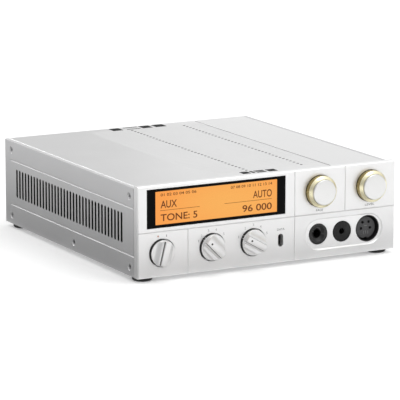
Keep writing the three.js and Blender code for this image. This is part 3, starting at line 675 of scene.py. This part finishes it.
def fluted_cover():
    """The cover's sheet. Its top drops by a parabola across each flute, whose ends are round, and by a
    V along one line. Round each vent the grid's squares are drawn to circles, whose inner ones sink."""
    flutes = FLUTE_FIRST + FLUTE_PITCH * np.arange(FLUTE_COUNT)
    bend = np.array([-2.75, -2.3, -1.75, -1.1, -0.55, 0, 0.55, 1.1, 1.75, 2.3, 2.75])
    low, high = (np.array(corner) / MM for corner in (cover_low, cover_high))
    front, back = low[1] - FRONT, high[1] - FRONT
    depth = np.concatenate([[front, front + COVER_EDGE, 20], (flutes[:, None] + bend).ravel(),
                            [250, back - COVER_EDGE, back]])
    vent = np.array([-1.75, -1.1, -0.55, 0, 0.55, 1.1, 1.75])
    ends = np.array([0, 0.15, 0.5, 1.0, 1.8, 2.75])
    x = np.concatenate([
        [low[0] + HALF_WIDTH, low[0] + HALF_WIDTH + COVER_EDGE, 40, FIELD_LEFT - 0.5], FIELD_LEFT + ends,
        [95, 108], HOLE_COLUMNS[0] + vent, [130, 145, 160], HOLE_COLUMNS[1] + vent, [178],
        FIELD_RIGHT - ends[::-1], [LINE_X - LINE_HALF, LINE_X, LINE_X + LINE_HALF, 215],
        [high[0] + HALF_WIDTH - COVER_EDGE, high[0] + HALF_WIDTH]])
    px, py = np.meshgrid(x, depth)
    near = flutes[np.clip(np.round((py - FLUTE_FIRST) / FLUTE_PITCH), 0, FLUTE_COUNT - 1).astype(int)]
    beyond_x = px - np.clip(px, FIELD_LEFT + FLUTE_HALF, FIELD_RIGHT - FLUTE_HALF)
    reach = np.hypot(beyond_x, py - near) / FLUTE_HALF
    drop = FLUTE_DEPTH * np.maximum(1 - reach ** 2, 0)
    drop += LINE_DEPTH * np.maximum(1 - np.abs(px - LINE_X) / LINE_HALF, 0)
    rim = (px == x[0]) | (px == x[-1])
    drop += COVER_EDGE * rim
    sunk = np.zeros_like(px)
    wx, wy = px.copy(), py.copy()
    for column in HOLE_COLUMNS:
        dx, dy = px - column, py - near
        square = np.maximum(np.abs(dx), np.abs(dy))
        inside = square < HOLE_RADIUS + 0.01
        turn = np.arctan2(dy, dx)
        radius = np.where(square > 0.8, HOLE_RADIUS, np.where(square > 0.1, HOLE_RADIUS - 0.03, 0))
        wx = np.where(inside, column + radius * np.cos(turn), wx)
        wy = np.where(inside, near + radius * np.sin(turn), wy)
        sunk = np.where(inside & (square < 0.8), HOLE_DEPTH, sunk)
    top = COVER_TOP - np.maximum(drop, sunk)
    face = np.stack([wx - HALF_WIDTH, wy + FRONT, top], axis=-1)
    rows = len(depth)
    y = depth + FRONT

    def edge(at_x, at_z):
        """One line of the section, running from front to back."""
        return np.stack([np.full(rows, at_x), y, np.full(rows, at_z)], axis=-1)[:, None]

    under, foot = COVER_TOP - SHEET, COVER_TOP - FLANGE
    left = [edge(low[0] + FLANGE_SHEET, under), edge(low[0] + FLANGE_SHEET, foot), edge(low[0], foot)]
    right = [edge(high[0], foot), edge(high[0] - FLANGE_SHEET, foot), edge(high[0] - FLANGE_SHEET, under)]
    points = np.concatenate([*left, face, *right], axis=1)
    columns = points.shape[1]
    number = np.arange(rows * columns).reshape(rows, columns)
    return points, sheet_faces(rows, columns, around=True), number[[0, -1]]


cover = piece("top_cover_fluted", [fluted_cover()], "chassis", silver_cover, ["top_cover"], crease=30)
# The sunk walls of the cover's vent holes take the black plastic: painted shade inside the holes.
centres = np.empty(3 * len(cover.data.polygons))
cover.data.polygons.foreach_get("center", centres)
centres = centres.reshape(-1, 3) / MM
in_vent = np.min([np.abs(centres[:, 0] - across(column)) for column in HOLE_COLUMNS], axis=0) < HOLE_RADIUS
below = centres[:, 2] < COVER_TOP - FLUTE_DEPTH - 0.2
not_under = centres[:, 2] > COVER_TOP - SHEET + 0.1
cover.data.materials.append(dark_plastic)
cover.data.polygons.foreach_set("material_index", (in_vent & below & not_under).astype(np.int32))


COVER_BARS = (
    ("front", ((107, 114.5, 16, 24.5), (116.2, 118.8, 16, 24.5), (120.3, 129.5, 16, 19.6),
               (120.3, 129.5, 20.9, 24.5), (131.5, 140, 16, 24.5))),
    ("back", ((101, 111, 245, 256), (115, 129, 245.5, 247.5), (115, 129, 253.5, 255.5),
              (131, 141, 245, 256), (144, 155, 245, 256))),
)
BAR_CORNER = 0.6
BAR_SINK = 0.05


def flat_mark(x0, x1, d0, d1):
    """A thin printed bar lying on the cover, from the left, right, front and back given."""
    points, faces = plate(across(x0), across(x1), d0, d1, -MARK_RISE, BAR_SINK, BAR_CORNER, 0.0, 4)
    flat = np.stack([points[..., 0], points[..., 2] + FRONT, COVER_TOP - points[..., 1]], axis=-1)
    return flat, faces


for end, bars in COVER_BARS:
    piece(f"cover_{end}_bars", [flat_mark(*bar) for bar in bars], "chassis", black_ink)

# Black sheets behind the side slots: painted shade, so the slots read dark.
inner_face = -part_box("left_side_panel")[1].x / MM - 0.3
for side_name, side in SIDES:
    points, faces = plate(FRONT + 18, BACK - 14, up(20), up(56), inner_face - 0.5, inner_face, 2.0, 0.1, 6)
    screen = np.stack([side * points[..., 1], points[..., 0], points[..., 2]], axis=-1)
    piece(f"{side_name}_slot_shade_sheet", [(screen, faces)], "chassis", black_ink)

# ---- display ----------------------------------------------------------------------------------------

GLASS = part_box("display_window")[0].y / MM
lit = plate(across(16.3), across(129.75), up(43.6), up(71.1), GLASS - MARK_RISE, GLASS + 2 * MARK_SINK,
            0.4, 0.0, 4)
piece("display_lit_area", [lit], "chassis", amber)


def lettering(name, words, left, right, bottom, top, face, finish, weight=0.0):
    """Words as a thin raised shape that fills the given box on an upright face, in millimetres."""
    curve = bpy.data.curves.new(name + "_outline", "FONT")
    curve.body = words
    curve.extrude = 0.01
    curve.offset = weight
    holder = bpy.data.objects.new(name + "_outline", curve)
    bpy.context.collection.objects.link(holder)
    bpy.context.view_layer.update()
    solid = bpy.data.meshes.new_from_object(holder.evaluated_get(bpy.context.evaluated_depsgraph_get()))
    solid.name = name
    bpy.data.objects.remove(holder)
    flat = np.empty(len(solid.vertices) * 3)
    solid.vertices.foreach_get("co", flat)
    flat = flat.reshape(-1, 3)
    low, high = flat.min(axis=0), flat.max(axis=0)
    unit = (flat - low) / (high - low)
    placed = np.stack([across(left) + unit[:, 0] * (right - left),
                       face + MARK_SINK - unit[:, 2] * (MARK_RISE + MARK_SINK),
                       up(bottom) + unit[:, 1] * (top - bottom)], axis=-1)
    solid.vertices.foreach_set("co", (placed * MM).ravel())
    close_seams(solid)
    return place_piece(name, solid, "chassis", finish)


amber_text = backlight("dark_amber_segments", (0.15, 0.030, 0.003), (0.20, 0.045, 0.004), 0.7)
SCREEN = GLASS - MARK_RISE
TEXT_WEIGHT = 0.012
SCREEN_TEXT = (
    ("header_left", "01 02 03 04 05 06", 21, 54, 67, 69.3),
    ("header_right", "07 08 09 10 11 12 13 14", 86, 125, 67, 69.3),
    ("source", "AUX", 21, 36, 57.1, 63.3),
    ("format", "AUTO", 107, 124.8, 57.1, 63.3),
    ("tone", "TONE: 5", 21, 54.8, 46.3, 52.1),
    ("rate", "96 000", 97, 124.8, 46.3, 52.1),
)
for name, words, left, right, bottom, top in SCREEN_TEXT:
    lettering(f"display_{name}", words, left, right, bottom, top, SCREEN, amber_text, TEXT_WEIGHT)
rules = [plate(across(x0), across(x1), up(55.05), up(55.4), SCREEN - MARK_RISE, SCREEN + MARK_SINK, 0.1,
               0.0, 2) for x0, x1 in ((20.5, 57), (80, 124.8))]
piece("display_rules", rules, "chassis", amber_text)

# ---- printed marks ----------------------------------------------------------------------------------

DIAL_MARKS = (
    ("input", ((56, 26.3), (58.7, 30.5), (65, 34.2), (72.3, 34.3), (79.3, 30))),
    ("output", ((93.5, 25.8), (99.7, 32.5), (107.3, 34.7), (114.3, 32.5), (120.2, 26.5))),
)
NUMBER_HALF_HEIGHT = 1.05
for dial, spots in DIAL_MARKS:
    for number, (x, height) in enumerate(spots, 1):
        half = 0.3 if number == 1 else 0.75
        lettering(f"{dial}_mark_{number}", str(number), x - half, x + half, height - NUMBER_HALF_HEIGHT,
                  height + NUMBER_HALF_HEIGHT, FRONT, light_ink)
lettering("data_port_mark", "DATA", 130, 137, 27.3, 29.1, FRONT, print_ink)
lettering("menu_mark", "PAGE", 167.5, 174.2, 39.9, 41.7, FRONT, print_ink)
lettering("volume_mark", "LEVEL", 215.4, 224.6, 40.1, 41.9, FRONT, print_ink)
disc = [[0, -MARK_RISE], [0.8, -MARK_RISE], [0.8, MARK_SINK], [0, MARK_SINK]]
piece("power_standby_dot", [turned(disc, (across(18.6), FRONT, up(34.1)), steps=24)], "chassis",
      red_ink)
tick = plate(across(25.9), across(26.7), up(33.0), up(35.0), FRONT - MARK_RISE, FRONT + MARK_SINK, 0.3,
             0.0, 3)
piece("power_on_tick", [tick], "chassis", light_ink)

# ---- finishes of the CAD nodes ------------------------------------------------------------------------

transformer_steel = moulded_plastic("transformer_lamination", (0.05, 0.05, 0.055), (0.12, 0.12, 0.125),
                                    0.45, 0.7)
heat_sink_black = moulded_plastic("heat_sink_anodising", (0.015, 0.015, 0.016), (0.03, 0.03, 0.032), 0.4)
sleeve = moulded_plastic("capacitor_sleeve", (0.01, 0.012, 0.03), (0.02, 0.025, 0.06), 0.3, 1.5, 0.01)
NODE_FINISHES = {
    silver: ["front_panel"],
    silver_sides: ["left_side_panel", "right_side_panel"],
    silver_rear: ["rear_panel", "bottom_plate"],
    glass: ["display_window"],
    amber: ["lcd_panel"],
    grey_plastic: ["xlr_socket_insert", "power_switch", "input_switch", "output_switch", "menu_encoder",
                   "volume_encoder"],
    dark_plastic: ["mains_inlet", "balanced_out_right", "balanced_out_left", "menu_plunger"],
    dark_steel: ["usb_c_port"],
    steel: ["data_socket", "power_shaft", "input_shaft", "output_shaft", "menu_shaft", "volume_shaft"],
    board: ["display_board", "control_board", "encoder_board", "headphone_board", "main_board"],
    transformer_steel: ["power_transformer"],
    heat_sink_black: ["heat_sink"],
    sleeve: ["smoothing_capacitor_left", "smoothing_capacitor_right"],
}
for finish, names in NODE_FINISHES.items():
    for name in names:
        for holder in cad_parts[name].material_slots:
            holder.material = finish
for name in ("line_out_right", "line_out_left"):
    centre = middle(name)
    gold = turned_metal(f"gold_{name}", centre, (0.80, 0.52, 0.20), (0.92, 0.64, 0.30), 0.3)
    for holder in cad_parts[name].material_slots:
        holder.material = gold

# ---- floor, light and camera --------------------------------------------------------------------------

FLOOR_REACH = 9
BACKDROP_REACH = 8.9
BACKDROP_HEIGHT = 4
CARD_HEIGHT = 0.0004
FLOOR_GLOW = 0.22
BACKDROP_GLOW = 1.0


def studio_paper(name, dark, light, glow=None):
    """Dull studio paper between two grey levels, which can give off light of its own."""
    fixed = {"Roughness": 0.9, "Specular IOR Level": 0.0}
    if glow:
        fixed.update({"Emission Strength": glow, "Emission Color": (1, 1, 1, 1)})
    paper = Finish(name, fixed)
    paper.feed("Base Color", paper.between((dark,) * 3, (light,) * 3, paper.noise(60, 2)))
    return paper.material


def outline(x0, x1, y0, y1, z):
    """The four corners of a level rectangle, in metres."""
    return [(x0, y0, z), (x1, y0, z), (x1, y1, z), (x0, y1, z)]


def stage_piece(name, points, faces, finish, unseen_by=()):
    """Puts a piece of the studio in place, which the kinds of ray named don't see."""
    mesh = bpy.data.meshes.new(name)
    mesh.from_pydata(points, [], faces)
    mesh.materials.append(finish)
    thing = bpy.data.objects.new(name, mesh)
    bpy.context.collection.objects.link(thing)
    for kind in unseen_by:
        setattr(thing, f"visible_{kind}", False)


stage_piece("floor", outline(-FLOOR_REACH, FLOOR_REACH, -FLOOR_REACH, FLOOR_REACH, 0), [(0, 1, 2, 3)],
            studio_paper("white_paper_floor", 0.90, 0.92, FLOOR_GLOW))


def studio_world(middle_level, rightward, upward, least):
    """A plain white surround. Its strength in a direction is the middle level plus each of the two
    amounts times that direction's part along x and z, and never under the least."""
    world = bpy.data.worlds.new("soft_studio")
    world.use_nodes = True
    nodes, links = world.node_tree.nodes, world.node_tree.links
    direction = nodes.new("ShaderNodeTexCoord")
    slope = nodes.new("ShaderNodeVectorMath")
    slope.operation = "DOT_PRODUCT"
    slope.inputs[1].default_value = (rightward, 0.0, upward)
    level = nodes.new("ShaderNodeMath")
    level.operation = "ADD"
    level.inputs[1].default_value = middle_level
    floor_level = nodes.new("ShaderNodeMath")
    floor_level.operation = "MAXIMUM"
    floor_level.inputs[1].default_value = least
    links.new(direction.outputs["Generated"], slope.inputs[0])
    links.new(slope.outputs["Value"], level.inputs[0])
    links.new(level.outputs[0], floor_level.inputs[0])
    links.new(floor_level.outputs[0], nodes["Background"].inputs["Strength"])
    nodes["Background"].inputs["Color"].default_value = (1.0, 1.0, 1.0, 1.0)
    bpy.context.scene.world = world


studio_world(0.26, 0.22, 0.90, 0.42)


def shade_card(name, x0, x1, y0, y1, tone):
    """A studio card lying on the floor beside the object: it darkens what the metal mirrors, and only
    reflections see it. Its edges are in metres."""
    stage_piece(name, outline(x0, x1, y0, y1, CARD_HEIGHT), [(0, 1, 2, 3)],
                studio_paper(name + "_paper", tone, tone * 1.1), ("camera", "diffuse", "shadow"))


shade_card("left_shade_card", -0.30, -0.128, -0.25, 0.55, 0.27)
shade_card("front_shade_card", -0.25, 0.40, -0.20, -0.140, 0.45)

# The backdrop is there for the camera only: it neither lights the object nor shows in the metal.
backdrop_edge = (-BACKDROP_REACH, BACKDROP_REACH, -BACKDROP_REACH, BACKDROP_REACH)
stage_piece("backdrop", outline(*backdrop_edge, 0) + outline(*backdrop_edge, BACKDROP_HEIGHT),
            [(0, 1, 5, 4), (1, 2, 6, 5), (2, 3, 7, 6), (3, 0, 4, 7)],
            studio_paper("white_backdrop", 0.90, 0.92, BACKDROP_GLOW), ("diffuse", "glossy", "shadow"))


def softbox(name, place, target, width, height, power):
    """A rectangular lamp at a place, facing a target, in metres and watts."""
    lamp = bpy.data.lights.new(name, "AREA")
    lamp.shape = "RECTANGLE"
    lamp.size = width
    lamp.size_y = height
    lamp.energy = power
    holder = bpy.data.objects.new(name, lamp)
    towards = np.array(target, float) - np.array(place, float)
    towards /= np.linalg.norm(towards)
    holder.location = place
    holder.rotation_mode = "XYZ"
    holder.rotation_euler = (np.arccos(-towards[2]), 0, np.arctan2(towards[0], -towards[1]) + pi)
    bpy.context.collection.objects.link(holder)


softbox("front_softbox", (0.9, -1.8, 1.1), (0, 0, 0.04), 1.4, 1.0, 4.5)
softbox("overhead_softbox", (0.15, -0.25, 0.75), (0, -0.05, 0.05), 0.5, 0.4, 1.0)
softbox("right_rear_softbox", (0.75, 1.0, 0.30), (0, 0.05, 0.07), 0.5, 0.3, 0.32)
softbox("edge_softbox", (-0.55, 1.9, 0.95), (0, 0.05, 0.07), 0.7, 0.45, 5.0)

CAMERA_X = -1008
CAMERA_AHEAD = 1980
CAMERA_HEIGHT = 527
CAMERA_DOWN = 11.72
CAMERA_RIGHT = 28.28
CAMERA_LENS = 252.99

camera_data = bpy.data.cameras.new("camera")
camera_data.sensor_width = 36
camera_data.lens = CAMERA_LENS
camera = bpy.data.objects.new("camera", camera_data)
camera.location = (across(CAMERA_X) * MM, (FRONT - CAMERA_AHEAD) * MM, up(CAMERA_HEIGHT) * MM)
camera.rotation_euler = (radians(90 - CAMERA_DOWN), 0, radians(-CAMERA_RIGHT))
bpy.context.collection.objects.link(camera)
bpy.context.scene.camera = camera
bpy.context.scene.view_settings.view_transform = "Standard"
